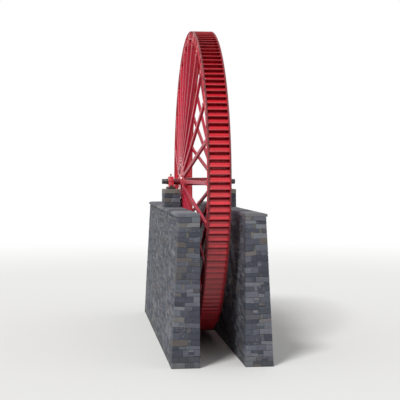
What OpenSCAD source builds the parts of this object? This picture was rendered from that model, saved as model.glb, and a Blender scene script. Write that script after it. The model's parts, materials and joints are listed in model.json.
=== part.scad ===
// Water wheel with elbow buckets, hung between the two masonry walls of its pit.
// Millimetres. The origin is on the floor of the pit, under the middle of the axle.
// +X runs along the pit, +Y along the axle, +Z up.

/* [Wheel rim] */
// Outside diameter over the shrouds
wheel_d = 15390; // [13000:10:17000]
// Clear width between the two shrouds, the length of a bucket
breast = 914; // [800:2:1000]
// Depth of the rim, from the inside of the sole to the outer edge
rim_depth = 400; // [360:5:480]
// Width of a shroud over its flanges
shroud_w = 68; // [50:1:90]
// Thickness of a shroud's web and flanges
shroud_t = 25; // [16:1:32]
// Gap at the joint between two shroud castings
joint_gap = 3; // [1:0.5:6]

/* [Buckets] */
// Buckets in each bay between two arms
bay_buckets = 6; // [5:1:6]
// Length of a bucket's front board, from elbow to lip
front_len = 290; // [220:5:310]
// Slope of the front board off the rim's tangent
front_slope = 28; // [26:1:36]
// Thickness of the bucket boards
board_t = 30; // [20:1:40]
// Thickness of the sole planks
sole_t = 30; // [20:1:45]
// Width of the cast ledges that the ends of the boards lie on
ledge_w = 26; // [15:1:40]
// How far a ledge stands out of its shroud
ledge_out = 22; // [10:1:35]

/* [Arms and hubs] */
// Arms on each side of the wheel
arm_count = 24; // [16:4:24]
// Depth of an arm at the hub, in the plane of the wheel
arm_root_w = 200; // [140:5:205]
// Depth of an arm at the rim
arm_tip_w = 180; // [120:5:200]
// Thickness of an arm along the axle
arm_t = 130; // [90:5:140]
// Radius at which the arms' roots butt against the hub
arm_root_r = 880; // [860:5:950]
// Distance of the arms' middle from the wheel's middle plane at the hub
arm_root_y = 885; // [840:5:890]
// Outside radius of the hub casting
hub_r = 1250; // [1150:10:1280]
// Radius of the hub's boss
boss_r = 400; // [330:5:450]
// Reach of the boss inwards from the arms' middle
boss_in_len = 265; // [200:5:300]
// Reach of the boss outwards from the arms' middle
boss_out_len = 90; // [70:5:100]
// Reach of the hub's disc inwards from the arms' middle
disc_in_len = 130; // [110:5:180]
// Thickness of the web between boss and sockets
web_t = 60; // [40:5:80]
// Thickness of the web's ribs
hub_rib_t = 45; // [30:5:60]
// Ribs on the web of a hub
hub_rib_count = 8; // [6:1:12]

/* [Axle] */
// Diameter of the axle's body
axle_d = 400; // [320:5:420]
// Diameter of the hub seats on the axle
seat_d = 430; // [425:5:500]
// Diameter of the journals
journal_d = 230; // [160:5:260]
// Length of a journal between its collars
journal_len = 320; // [280:5:380]
// Radial running gap between a journal and its brasses
run_gap = 0.05; // [0.02:0.01:0.1]
// Diameter of the crank seat at each end of the axle
crank_seat_d = 260; // [200:5:280]
// Length of a crank seat
crank_seat_len = 240; // [160:10:300]

/* [Pit walls] */
// Gap between the lowest point of the wheel and the foot of the walls
tail_gap = 305; // [150:5:600]
// Clear width between the walls
pit_w = 2000; // [1980:10:2300]
// Length of a wall
wall_len = 17200; // [15600:50:19000]
// Thickness of a wall at its top
wall_top_t = 900; // [880:10:1200]
// Thickness of a wall at its foot
wall_foot_t = 1250; // [1250:10:1600]
// Height of the axle above the coping
axle_rise = 1300; // [1260:10:1700]
// Thickness of the coping stones
coping_h = 150; // [100:5:220]
// Overhang of the coping on the outer face
coping_over = 60; // [20:5:100]
// Coping stones on each wall
coping_count = 16; // [10:1:22]
// Open joint between two coping stones
coping_joint = 10; // [4:1:15]

/* [Bearings] */
// Length of a pier at its foot
pier_len = 1700; // [1500:10:2200]
// Width of a pier along the axle
pier_w = 800; // [760:10:850]
// Height of the bed stone
bed_stone_h = 220; // [150:5:260]
// Height of the journal's middle above the bed plate
block_h = 340; // [300:5:380]
// Width of the bearing block along the axle
block_w = 280; // [220:5:300]
// Outside radius of the brasses
brass_r = 150; // [140:1:165]

/* [Hidden] */

// Segments of a full circle as drawn
$fn = 120;
// Segments of the wheel's large circles as drawn
rim_fn = 240;
// Gap at which pieces of one body seat on each other
seat = 0.2;

wheel_r = wheel_d / 2;
axle_z = wheel_r + tail_gap;
sole_r = wheel_r - rim_depth;
half_breast = breast / 2;
bucket_count = arm_count * bay_buckets;
pitch = 360 / bucket_count;
bay = 360 / arm_count;

// The front board's outer corner runs just inside the shroud's edge
lip_inset = 6;
elbow_r = wheel_r - lip_inset - board_t * cos(front_slope) - front_len * sin(front_slope);
elbow_rise = board_t / 2 * tan(front_slope);

// The joints of the shrouds fall between one bucket's lip and the next bucket's elbow
lip_reach = front_len * cos(front_slope);
pitch_len = wheel_r * pitch * PI / 180;
first_bucket = (lip_reach + pitch_len - board_t / 2) / 2 / wheel_r * 180 / PI;

// The arms lean in from the hub to the rim
shoe_t = 30;
shoe_cheek = 24;
shoe_len = 250;
arm_tip_r = sole_r - shoe_t;
arm_tip_y = half_breast + shroud_w / 2;
arm_lean = atan((arm_root_y - arm_tip_y) / (arm_tip_r - arm_root_r));
arm_len = (arm_tip_r - arm_root_r) / cos(arm_lean);

axle_r = axle_d / 2;
hub_seat_r = seat_d / 2;
journal_r = journal_d / 2;
bearing_y = pit_w / 2 + wall_top_t / 2;
wall_top_z = axle_z - axle_rise;
wall_h = wall_top_z - coping_h;

bed_plate_t = 50;
block_foot_z = axle_z - block_h;
bed_plate_z = block_foot_z - bed_plate_t;
bed_stone_z = bed_plate_z - bed_stone_h;
pier_batter = 0.12;
pier_h = bed_stone_z - wall_top_z;
pier_top_len = pier_len - 2 * pier_batter * pier_h;

// Paint and stone
red = [0.76, 0.11, 0.13];
dark_red = [0.52, 0.06, 0.09];
iron = [0.34, 0.08, 0.09];
brass = [0.72, 0.56, 0.28];
stone = [0.34, 0.35, 0.37];
dressed = [0.55, 0.54, 0.52];

// Draws a part of the back, +Y side there, or mirrored on the front side
module on_side(front) {
    mirror([0, front ? 1 : 0, 0]) children();
}

// Stands up what is drawn flat about the wheel's centre: local Z is the front of the wheel
module on_wheel(front = true) {
    translate([0, 0, axle_z])
        rotate([90, 0, 0])
            mirror([0, 0, front ? 0 : 1])
                children();
}

// Extrudes a profile drawn in X and Z from y0 to y1
module across(y0, y1) {
    translate([0, y1, 0])
        rotate([90, 0, 0])
            linear_extrude(y1 - y0)
                children();
}

// Extrudes a profile drawn in Y and Z from x0 to x1
module along(x0, x1) {
    translate([x0, 0, 0])
        rotate([90, 0, 90])
            linear_extrude(x1 - x0)
                children();
}

// Masonry wall, upright towards the wheel and battered on its outer face
module wall(front) {
    inner = pit_w / 2;
    color(stone) on_side(front) along(-wall_len / 2, wall_len / 2)
        polygon([
            [inner, 0],
            [inner + wall_foot_t, 0],
            [inner + wall_top_t, wall_h],
            [inner, wall_h]
        ]);
}

// Row of coping stones with a weathered outer edge
module coping(front) {
    inner = pit_w / 2;
    outer = inner + wall_top_t + coping_over;
    fall = coping_h / 4;
    step = wall_len / coping_count;
    color(dressed) on_side(front) for (i = [0 : coping_count - 1])
        along(-wall_len / 2 + i * step + coping_joint / 2, -wall_len / 2 + (i + 1) * step - coping_joint / 2)
            polygon([
                [inner, wall_h],
                [outer, wall_h],
                [outer, wall_top_z - fall],
                [outer - 2 * fall, wall_top_z],
                [inner, wall_top_z]
            ]);
}

// Battered masonry pier that carries a bearing
module pier(front) {
    color(stone) on_side(front) across(bearing_y - pier_w / 2, bearing_y + pier_w / 2)
        polygon([
            [-pier_len / 2, wall_top_z],
            [pier_len / 2, wall_top_z],
            [pier_top_len / 2, bed_stone_z],
            [-pier_top_len / 2, bed_stone_z]
        ]);
}

// Dressed bed stone with chamfered top edges
module bed_stone(front) {
    half = pier_top_len / 2 + 30;
    chamfer = 25;
    color(dressed) on_side(front) across(bearing_y - pier_w / 2, bearing_y + pier_w / 2)
        polygon([
            [-half, bed_stone_z],
            [half, bed_stone_z],
            [half, bed_plate_z - chamfer],
            [half - chamfer, bed_plate_z],
            [chamfer - half, bed_plate_z],
            [-half, bed_plate_z - chamfer]
        ]);
}

// Size of the bearing block's foot along X, and of the plate's stops beyond it
block_foot_len = 820;
stop_len = 70;
stop_h = 60;
wedge_len = 50;
stop_x = block_foot_len / 2 + wedge_len;

// Cast bed plate with a stop at each end of the bearing block
module bed_plate(front) {
    end_x = stop_x + stop_len;
    margin = 60;
    color(iron) on_side(front) across(bearing_y - block_w / 2 - margin, bearing_y + block_w / 2 + margin)
        polygon([
            [-end_x, bed_plate_z],
            [end_x, bed_plate_z],
            [end_x, block_foot_z + stop_h],
            [stop_x, block_foot_z + stop_h],
            [stop_x, block_foot_z],
            [-stop_x, block_foot_z],
            [-stop_x, block_foot_z + stop_h],
            [-end_x, block_foot_z + stop_h]
        ]);
}

// Two folding wedges at each end of the block's foot
module wedges(front) {
    low = block_foot_z;
    top = low + 150;
    drive = 20;
    thin = wedge_len * 0.36;
    thick = wedge_len * 0.64;
    foot_x = block_foot_len / 2 + seat;
    color(iron) on_side(front) across(bearing_y - block_w / 2 + 40, bearing_y + block_w / 2 - 40)
        for (turn = [0, 1])
            mirror([turn, 0]) {
                polygon([
                    [foot_x, low],
                    [foot_x + thin, low],
                    [foot_x + thick, top - drive],
                    [foot_x, top - drive]
                ]);
                polygon([
                    [foot_x + thin + seat + drive / 10, low + drive],
                    [stop_x - seat, low + drive],
                    [stop_x - seat, top],
                    [foot_x + thick + seat + drive / 10, top]
                ]);
            }
}

// Height of the block's foot, and half its length at the joint with the cap
foot_h = 70;
cheek_x = 290;

// Lower half of the bearing block
module bearing_base(front) {
    color(red) on_side(front) across(bearing_y - block_w / 2, bearing_y + block_w / 2)
        difference() {
            polygon([
                [-block_foot_len / 2, block_foot_z],
                [block_foot_len / 2, block_foot_z],
                [block_foot_len / 2, block_foot_z + foot_h],
                [cheek_x, block_foot_z + foot_h + 60],
                [cheek_x, axle_z - seat],
                [-cheek_x, axle_z - seat],
                [-cheek_x, block_foot_z + foot_h + 60],
                [-block_foot_len / 2, block_foot_z + foot_h]
            ]);
            translate([0, axle_z]) circle(r = brass_r + seat);
        }
}

// Arched cap of the bearing block, with a lug at each side for its bolts
module bearing_cap(front) {
    crown_r = brass_r + 75;
    lug_h = 75;
    color(red) on_side(front) across(bearing_y - block_w / 2, bearing_y + block_w / 2)
        difference() {
            union() {
                translate([-cheek_x, axle_z]) square([2 * cheek_x, lug_h]);
                intersection() {
                    translate([0, axle_z]) circle(r = crown_r);
                    translate([-crown_r, axle_z]) square([2 * crown_r, crown_r]);
                }
                translate([-60, axle_z + crown_r - 20]) square([120, 50]);
            }
            translate([0, axle_z]) circle(r = brass_r + seat);
        }
}

// Upper and lower brass, flanged at both ends, with a nip gap between them
module brasses(front) {
    flange_t = 10;
    flange_r = brass_r + 25;
    nip = 2;
    half = block_w / 2 + seat;
    bore = journal_r + run_gap;
    color(brass) on_side(front) translate([0, bearing_y, axle_z]) rotate([90, 0, 0])
        difference() {
            rotate_extrude() polygon([
                [bore, -half - flange_t],
                [flange_r, -half - flange_t],
                [flange_r, -half],
                [brass_r, -half],
                [brass_r, half],
                [flange_r, half],
                [flange_r, half + flange_t],
                [bore, half + flange_t]
            ]);
            translate([-2 * brass_r, -nip / 2, -block_w]) cube([4 * brass_r, nip, 2 * block_w]);
        }
}

// Planes of the hub along the axle, from the wheel's middle
boss_in = arm_root_y - boss_in_len;
boss_out = arm_root_y + boss_out_len;
disc_in = arm_root_y - disc_in_len;
socket_top = arm_root_y + arm_t / 2;

// Turned axle: body, hub seats, tapered necks, collars, journals and crank seats
module axle() {
    in_collar = bearing_y - journal_len / 2;
    out_collar = bearing_y + journal_len / 2;
    collar_r = journal_r + 30;
    neck_r = collar_r + 15;
    crank_seat_r = crank_seat_d / 2;
    crank_seat_y = out_collar + 60;
    end_y = crank_seat_y + crank_seat_len;
    bevel = 10;
    half = [
        [hub_seat_r, boss_in - 20],
        [hub_seat_r, boss_out + 15],
        [neck_r, boss_out + 60],
        [collar_r, in_collar - 60],
        [collar_r, in_collar],
        [journal_r, in_collar],
        [journal_r, out_collar],
        [collar_r, out_collar],
        [collar_r, crank_seat_y],
        [crank_seat_r, crank_seat_y],
        [crank_seat_r, end_y - bevel],
        [crank_seat_r - bevel, end_y],
        [0, end_y]
    ];
    color(iron) on_wheel() rotate_extrude() polygon(concat(
        [[axle_r, 0], [axle_r, boss_in - 60]],
        half,
        [for (i = [len(half) - 1 : -1 : 0]) [half[i][0], -half[i][1]]],
        [[axle_r, 60 - boss_in]]
    ));
}

// One arm's bar in place on the front face, grown by a fit on its sides and its root
module arm_bar(fit = 0, extra = 0) {
    translate([arm_root_r, 0, arm_root_y])
        rotate([0, arm_lean, 0])
            translate([0, 0, -arm_t / 2 - fit])
                linear_extrude(arm_t + 2 * fit + extra)
                    polygon([
                        [-fit, -arm_root_w / 2 - fit],
                        [arm_len, -arm_tip_w / 2 - fit],
                        [arm_len, arm_tip_w / 2 + fit],
                        [-fit, arm_root_w / 2 + fit]
                    ]);
}

// Hub casting: boss, ribbed web and a ring of sockets for the roots of the arms
module hub(front) {
    shoulder_r = arm_root_r - 40;
    color(red) on_wheel(front) {
        difference() {
            rotate_extrude() polygon([
                [hub_seat_r + seat, boss_in],
                [boss_r, boss_in],
                [boss_r + 25, disc_in],
                [hub_r, disc_in],
                [hub_r, socket_top - (hub_r - arm_root_r) * tan(arm_lean)],
                [arm_root_r, socket_top],
                [shoulder_r, socket_top],
                [shoulder_r - 15, disc_in + web_t],
                [boss_r + 25, disc_in + web_t],
                [boss_r, boss_out],
                [hub_seat_r + seat, boss_out]
            ]);
            for (i = [0 : arm_count - 1])
                rotate([0, 0, i * bay]) arm_bar(fit = seat, extra = arm_t);
        }
        for (i = [0 : hub_rib_count - 1])
            rotate([90, 0, (i + 0.5) * 360 / hub_rib_count])
                translate([0, 0, -hub_rib_t / 2])
                    linear_extrude(hub_rib_t)
                        polygon([
                            [boss_r - 20, disc_in + 10],
                            [shoulder_r + 10, disc_in + 10],
                            [shoulder_r + 10, socket_top - 30],
                            [boss_r - 20, boss_out - 60]
                        ]);
    }
}

// Tapered arms of one face, leaning in towards the rim
module arms(front) {
    color(dark_red) on_wheel(front) for (i = [0 : arm_count - 1])
        rotate([0, 0, i * bay]) arm_bar();
}

// Cast shoes that hold the tips of the arms under the rim
module rim_shoes(front) {
    half_w = arm_tip_w / 2 + shoe_cheek;
    color(red) on_wheel(front) for (i = [0 : arm_count - 1])
        rotate([0, 0, i * bay])
            difference() {
                intersection() {
                    translate([arm_root_r, 0, arm_root_y])
                        rotate([0, arm_lean, 0])
                            translate([arm_len - shoe_len, -half_w, -arm_t / 2])
                                cube([shoe_len + 2 * shoe_t, 2 * half_w, arm_t]);
                    cylinder(r = sole_r - seat, h = 2 * arm_root_y, $fn = rim_fn);
                }
                arm_bar(fit = seat, extra = arm_t);
            }
}

// Elbow-shaped ledge under the end of one bucket's boards, drawn about the riser's radial line
module ledge_outline() {
    side = -board_t / 2 - seat;
    end = 0.94 * front_len;
    along_front = [sin(front_slope), -cos(front_slope)];
    outward = [cos(front_slope), sin(front_slope)];
    tip = [elbow_r, 0] + end * along_front - seat * outward;
    polygon([
        [sole_r + sole_t, side],
        [elbow_r - side * tan(front_slope) - seat / cos(front_slope), side],
        tip,
        tip - ledge_w * outward,
        [elbow_r - (side - ledge_w) * tan(front_slope) - (seat + ledge_w) / cos(front_slope), side - ledge_w],
        [sole_r + sole_t, side - ledge_w]
    ]);
}

// Shroud castings: channels with their flanges outwards, two ribs each, and a ledge for each bucket
module shroud(front) {
    open = joint_gap / sole_r * 180 / PI;
    web = half_breast + shroud_t;
    edge = half_breast + shroud_w;
    rib_t = 20;
    color(red) on_wheel(front) for (i = [0 : arm_count - 1])
        rotate([0, 0, i * bay]) {
            rotate([0, 0, open / 2]) rotate_extrude(angle = bay - open, $fn = rim_fn) polygon([
                [sole_r, half_breast],
                [wheel_r, half_breast],
                [wheel_r, edge],
                [wheel_r - shroud_t, edge],
                [wheel_r - shroud_t, web],
                [sole_r + shroud_t, web],
                [sole_r + shroud_t, edge],
                [sole_r, edge]
            ]);
            for (k = [1, 2])
                rotate([0, 0, k * bay / 3])
                    translate([sole_r + 10, -rib_t / 2, half_breast + 10])
                        cube([rim_depth - 20, rib_t, shroud_w - 20]);
            for (k = [0 : bay_buckets - 1])
                rotate([0, 0, k * pitch + first_bucket])
                    translate([0, 0, half_breast - ledge_out])
                        linear_extrude(ledge_out + shroud_t / 2)
                            ledge_outline();
        }
}

// Plates bolted over the joints of the shroud castings
module joint_plates(front) {
    plate_w = 240;
    plate_t = 16;
    clear = 12;
    color(dark_red) on_wheel(front) for (i = [0 : arm_count - 1])
        rotate([0, 0, i * bay])
            translate([sole_r + shroud_t + clear, -plate_w / 2, half_breast + shroud_t])
                cube([rim_depth - 2 * (shroud_t + clear), plate_w, plate_t]);
}

// First and last bucket of one quarter of the wheel
function quarter(q) = [for (i = [0 : bucket_count / 4 - 1]) (q - 1) * bucket_count / 4 + i];

// Planks of the sole, one under each riser
module sole_planks(q) {
    slit = 2;
    half_w = sole_r * tan(pitch / 2) - slit / 2;
    color(red) on_wheel() for (i = quarter(q))
        rotate([0, 0, i * pitch + first_bucket])
            translate([sole_r, -half_w, -half_breast + seat])
                cube([sole_t - seat, 2 * half_w, breast - 2 * seat]);
}

// Radial boards that stand on the sole and end in the slope of the front boards
module bucket_risers(q) {
    foot = sole_r + sole_t;
    color(red) on_wheel() for (i = quarter(q))
        rotate([0, 0, i * pitch + first_bucket])
            translate([0, 0, -half_breast + seat])
                linear_extrude(breast - 2 * seat)
                    polygon([
                        [foot, -board_t / 2],
                        [elbow_r + elbow_rise - seat, -board_t / 2],
                        [elbow_r - elbow_rise - seat, board_t / 2],
                        [foot, board_t / 2]
                    ]);
}

// Sloping front boards, with their lips turned clockwise round the rim
module bucket_fronts(q) {
    lip = [elbow_r + front_len * sin(front_slope), -lip_reach];
    out = [board_t * cos(front_slope), board_t * sin(front_slope)];
    color(red) on_wheel() for (i = quarter(q))
        rotate([0, 0, i * pitch + first_bucket])
            translate([0, 0, -half_breast + seat])
                linear_extrude(breast - 2 * seat)
                    polygon([
                        [elbow_r - elbow_rise, board_t / 2],
                        lip,
                        lip + out,
                        [elbow_r - elbow_rise + board_t / cos(front_slope), board_t / 2]
                    ]);
}

wall(true);  // wall_front
wall(false);  // wall_back
coping(true);  // coping_front
coping(false);  // coping_back
pier(true);  // pier_front
pier(false);  // pier_back
bed_stone(true);  // bed_stone_front
bed_stone(false);  // bed_stone_back
bed_plate(true);  // bed_plate_front
bed_plate(false);  // bed_plate_back
wedges(true);  // wedges_front
wedges(false);  // wedges_back
bearing_base(true);  // bearing_base_front
bearing_base(false);  // bearing_base_back
bearing_cap(true);  // bearing_cap_front
bearing_cap(false);  // bearing_cap_back
brasses(true);  // brasses_front
brasses(false);  // brasses_back
axle();
hub(true);  // hub_front
hub(false);  // hub_back
arms(true);  // arms_front
arms(false);  // arms_back
rim_shoes(true);  // rim_shoes_front
rim_shoes(false);  // rim_shoes_back
shroud(true);  // shroud_front
shroud(false);  // shroud_back
joint_plates(true);  // joint_plates_front
joint_plates(false);  // joint_plates_back
sole_planks(1);  // sole_planks_1
sole_planks(2);  // sole_planks_2
sole_planks(3);  // sole_planks_3
sole_planks(4);  // sole_planks_4
bucket_risers(1);  // bucket_risers_1
bucket_risers(2);  // bucket_risers_2
bucket_risers(3);  // bucket_risers_3
bucket_risers(4);  // bucket_risers_4
bucket_fronts(1);  // bucket_fronts_1
bucket_fronts(2);  // bucket_fronts_2
bucket_fronts(3);  // bucket_fronts_3
bucket_fronts(4);  // bucket_fronts_4
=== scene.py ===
# Water wheel with elbow buckets, hung between the two masonry walls of its pit.
# Metres. +X runs along the pit, +Y along the axle, +Z up, and the wheel turns about the axle.
import json
import math
from itertools import pairwise

import bmesh
import bpy
import numpy as np
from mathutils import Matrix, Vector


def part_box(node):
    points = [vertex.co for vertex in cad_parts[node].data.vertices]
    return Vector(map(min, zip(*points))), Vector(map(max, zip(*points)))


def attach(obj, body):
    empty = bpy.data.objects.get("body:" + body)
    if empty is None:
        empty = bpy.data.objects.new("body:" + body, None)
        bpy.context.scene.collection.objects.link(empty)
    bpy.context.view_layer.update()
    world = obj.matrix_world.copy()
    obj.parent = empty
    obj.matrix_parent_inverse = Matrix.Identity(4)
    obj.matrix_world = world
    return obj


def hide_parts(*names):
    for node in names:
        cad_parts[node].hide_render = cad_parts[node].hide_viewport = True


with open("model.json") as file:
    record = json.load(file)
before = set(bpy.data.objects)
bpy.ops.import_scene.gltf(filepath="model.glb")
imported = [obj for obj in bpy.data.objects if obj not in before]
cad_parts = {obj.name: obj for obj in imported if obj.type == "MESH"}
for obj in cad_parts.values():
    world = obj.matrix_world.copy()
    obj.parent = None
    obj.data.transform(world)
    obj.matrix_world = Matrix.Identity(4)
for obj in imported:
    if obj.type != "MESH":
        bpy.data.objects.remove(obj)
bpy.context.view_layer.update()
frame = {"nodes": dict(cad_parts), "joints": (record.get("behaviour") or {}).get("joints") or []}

seeded = np.random.default_rng
hinge = np.array(frame["joints"][0]["pos_m"])
sides = (("_front", -1), ("_back", 1))  # how the names of a side end, and the way it looks along Y


# Shader maths

class Value:
    # A socket that takes Python's operators, each of which adds a Math node
    def __init__(self, look, socket):
        self.look, self.socket = look, socket

    def out(self, name):  # an output of its node
        return Value(self.look, self.socket.node.outputs[name])

    def math(self, operation, other=0.0):  # one Math node
        return self.look.add("Math", {0: self, 1: other}, operation=operation)

    def __add__(self, other):
        return self.math("ADD", other)

    def __sub__(self, other):
        return self.math("SUBTRACT", other)

    def __rsub__(self, other):
        return self.look.add("Math", {0: other, 1: self}, operation="SUBTRACT")

    def __mul__(self, other):
        return self.math("MULTIPLY", other)

    __radd__, __rmul__ = __add__, __mul__

    def most(self, other):  # the larger of the two
        return self.math("MAXIMUM", other)

    def ramp(self, low, high):
        # Smooth step from 0 at low to 1 at high, whichever is the larger
        ends = {"Value": self, "From Min": low, "From Max": high}
        return self.look.add("MapRange", ends, interpolation_type="SMOOTHSTEP")


class Look:
    # A material, or the world; add() makes any node from its type, its sockets' values and its settings
    def __init__(self, name, world=None):
        self.material = world or bpy.data.materials.new(name)
        self.material.use_nodes = True
        self.tree = self.material.node_tree
        self.tree.nodes.clear()
        self.place = None if world else self.add("TexCoord").out("Object")

    def add(self, kind, sockets=(), **settings):  # any node
        node = self.tree.nodes.new("ShaderNode" + kind)
        for key, value in settings.items():
            setattr(node, key, value)
        for key, value in dict(sockets).items():
            named = [s for s in node.inputs if s.enabled and s.name == key]
            socket = named[0] if named else node.inputs[key]
            if isinstance(value, Value):
                self.tree.links.new(value.socket, socket)
            else:
                socket.default_value = value
        return Value(self, next((s for s in node.outputs if s.enabled), None))

    def mark(self, name, output):  # from the mesh
        return self.add("Attribute", attribute_name=name).out(output)

    def axis(self, letter, vector=None):  # X, Y or Z
        return self.add("SeparateXYZ", {0: vector or self.place}).out(letter)

    def vector(self, operation, first, second=(0, 0, 0)):  # one Vector Math node
        return self.add("VectorMath", {0: first, 1: second}, operation=operation)

    def reach(self, centre, factors):
        # Distance from a centre, along the axes whose factor is 1
        flat = self.vector("MULTIPLY", self.vector("SUBTRACT", self.place, centre), factors)
        return self.vector("LENGTH", flat).out("Value")

    def seenDirectly(self):
        # 1 for rays from the camera, or from it by way of a mirror or glass
        path = self.add("LightPath")
        mirrored = path.out("Is Glossy Ray").most(path.out("Is Transmission Ray"))
        return path.out("Is Camera Ray").most(mirrored)

    def noise(self, scale, detail=3.0, rough=0.55, vector=None):  # from 0 to 1
        sockets = {"Vector": vector or self.place, "Scale": scale, "Detail": detail, "Roughness": rough}
        return self.add("TexNoise", sockets)

    def streaks(self, vector, factors, detail, rough=0.6):
        # Noise drawn out along the axes whose factors are small
        return self.noise(1.0, detail, rough, self.vector("MULTIPLY", vector, factors))

    def cover(self, colour, *coats):
        # Coats of colour over the first, each by its share
        for coat, share in coats:
            colour = self.add("Mix", {"A": colour, "B": coat, "Factor": share}, data_type="RGBA")
        return colour

    def finish(self, colour, rough, height, depth, strength=0.5, others=()):  # bumped by the height
        bump = self.add("Bump", {"Height": height, "Distance": depth, "Strength": strength})
        sockets = {"Base Color": colour, "Roughness": rough, "Normal": bump, **dict(others)}
        return self.show(self.add("BsdfPrincipled", sockets))

    def show(self, shader, kind="Material"):  # sends it out
        self.add("Output" + kind, {"Surface": shader})
        return self


def tone(*levels):
    # A colour's red, green and blue on screen, 0 to 255, to the linear ones that shaders take
    share = np.array(levels) / 255
    linear = np.where(share > 0.04045, ((share + 0.055) / 1.055) ** 2.4, share / 12.92)
    return (*linear, 1.0)


ironPaint = {
    "fresh": tone(198, 20, 44), "faded": tone(188, 44, 62), "rust": tone(92, 42, 30),
    "grime": tone(72, 14, 24), "weathered": tone(104, 22, 32), "algae": tone(88, 46, 42),
    "plain": (0.22, 0.8), "rim": (0.32, 0.35),
}


def paintedIron(look, rustShare=0.5, dark=0.0, dullFrom=None):
    # Gloss paint over cast iron: faded patches, clouds of grime raised evenly by dark, which on the shroud
    # is partly painted shade, rust freckles, a cast skin; beyond the radius dullFrom, on the rim's own
    # tread, it is dull and gathers algae
    fade = look.noise(0.8, 4).ramp(0.38, 0.66)
    cloud = look.noise(2.3, 5, 0.65)
    grime = cloud.ramp(0.52, 0.78) * 0.55 + dark
    freckle = look.noise(31, 6, 0.75) * cloud.ramp(0.35, 0.75)
    rust = freckle.ramp(0.62 - 0.12 * rustShare, 0.70)
    colour = look.cover(ironPaint["fresh"], (ironPaint["faded"], fade), (ironPaint["grime"], grime))
    gloss, sheen = ironPaint["rim" if dullFrom else "plain"]
    rough = gloss + fade * 0.12 + grime * 0.2 + rust * 0.45
    coat = (1 - rust) * sheen
    if dullFrom:
        dull = look.reach(hinge, (1, 0, 1)).ramp(dullFrom, dullFrom + 0.003) * (0.55 + cloud * 0.7)
        damp = look.noise(4.6, 5, 0.65).ramp(0.46, 0.62)
        worn = look.cover(ironPaint["weathered"], (ironPaint["algae"], damp))
        colour = look.cover(colour, (worn, dull))
        rough = rough + dull * 0.25
        coat = coat * (1 - dull * 0.6)
    colour = look.cover(colour, (ironPaint["rust"], rust))
    relief = look.noise(90) * 0.5 + look.noise(22) - rust * 0.6
    return look.finish(colour, rough, relief, 0.0025, others={"Coat Weight": coat, "Coat Roughness": 0.12})


boardPaint = {
    "fresh": tone(222, 31, 46), "dull": tone(186, 22, 42), "stain": tone(112, 12, 24),
    "timber": tone(132, 90, 72), "gloss": 0.28, "coat": 0.45,
    # Bands of painted shade across a front board, as from, to and share: towards the elbow and along the lip
    "elbowStain": (-0.045, -0.125, 0.68), "lipStain": (0.090, 0.138, 0.62),
}
# Painted shade: the arms' red is darker and bluer than the boards', as for arms that stand in shade
shadedArmPaint = {
    "fresh": tone(196, 12, 52), "dull": tone(156, 10, 44), "stain": tone(94, 10, 28),
    "timber": tone(128, 86, 74), "gloss": 0.38, "coat": 0.1,
}


def paintedBoards(look, paint, water, shadedEdges=False):
    # Paint over timber: a tone a board, stains in runs, grain that shows where it is worn; on the front
    # boards, painted shade darkens the edges towards the elbow, which the next lip shelters, and along the
    # lip
    tint = look.mark("tint", "Fac")
    grain = look.mark("grain", "Vector")
    lines = look.streaks(grain, (5, 130, 60), 5)
    runs = look.streaks(grain, (16, 3, 3), 4)
    cloud = look.streaks(grain, (3, 7, 7), 4)
    stain = runs.ramp(0.48, 0.74) * water
    aged = tint * 0.65 + cloud.ramp(0.4, 0.7) * 0.35
    colour = look.cover(paint["fresh"], (paint["dull"], aged), (paint["stain"], stain))
    # Painted shade: the stain colour is laid in bands towards the elbow and along the lip, where the boards
    # sit in shade
    if shadedEdges:
        across = look.axis("Y", grain) + (runs - 0.5) * 0.06
        for low, high, share in (paint["elbowStain"], paint["lipStain"]):
            edge = across.ramp(low, high) * share
            colour = look.cover(colour, (paint["stain"], edge))
            stain = stain.most(edge)
    wear = (lines * 0.6 + cloud * 0.4).ramp(0.62, 0.72) * 0.5
    colour = look.cover(colour, (paint["timber"], wear))
    rough = paint["gloss"] + tint * 0.1 + stain * 0.3 + wear * 0.4
    coat = {"Coat Weight": (1 - wear) * paint["coat"], "Coat Roughness": 0.14}
    return look.finish(colour, rough, lines + cloud * 0.6, 0.0018, others=coat)


slate = {
    "dark": tone(55, 58, 69), "mid": tone(88, 91, 101), "brown": tone(100, 90, 82),
    "pale": tone(126, 128, 132), "lichen": tone(160, 162, 154),
    "moss": tone(58, 60, 46), "mossTop": 1.6,
}


def rubbleStone(look, paler=0.0, moss=1.0):
    # Split slate: a tone a stone, bedding lines, lichen spots, and moss that thins out upwards
    tint = look.mark("tint", "Fac")
    broad = look.noise(0.7, 4)
    patch = look.noise(5.0, 6, 0.65)
    bedding = look.streaks(look.place, (7, 7, 70), 6, 0.7)
    grit = look.noise(85, 5, 0.7)
    lichen = (look.noise(17) * 0.6 + broad * 0.4).ramp(0.60, 0.66)
    damp = look.axis("Z") * (1 / slate["mossTop"]) + patch * 1.3 + broad * 0.5
    low = damp.ramp(1.35, 0.6) * moss
    colour = look.cover(slate["dark"],
                        (slate["mid"], (tint * 0.8 + patch * 0.5 + paler).ramp(0.25, 0.95)),
                        (slate["brown"], (tint * 17).math("FRACT").ramp(0.80, 0.95) * 0.6),
                        (slate["pale"], (tint * 0.5 + bedding * 0.5 + paler).ramp(0.58, 0.85) * 0.7),
                        (slate["lichen"], lichen * 0.55),
                        (slate["moss"], low * 0.55))
    relief = bedding * 0.8 + patch * 0.5 + grit * 0.35
    return look.finish(colour, 0.82 - low * 0.15, relief, 0.012, 0.7)


def mortarBed(look):
    # Lime mortar between the stones: grey, sandy, darker where it is damp
    patch = look.noise(3.0, 5, 0.6)
    damp = (look.axis("Z") * 0.7 + patch).ramp(1.3, 0.5)
    colour = look.cover(tone(84, 84, 82), (tone(116, 113, 107), patch.ramp(0.35, 0.7)),
                        (tone(54, 54, 48), damp * 0.8))
    return look.finish(colour, 0.92, look.noise(150, 3, 0.7) + patch, 0.006, 0.7)


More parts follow.
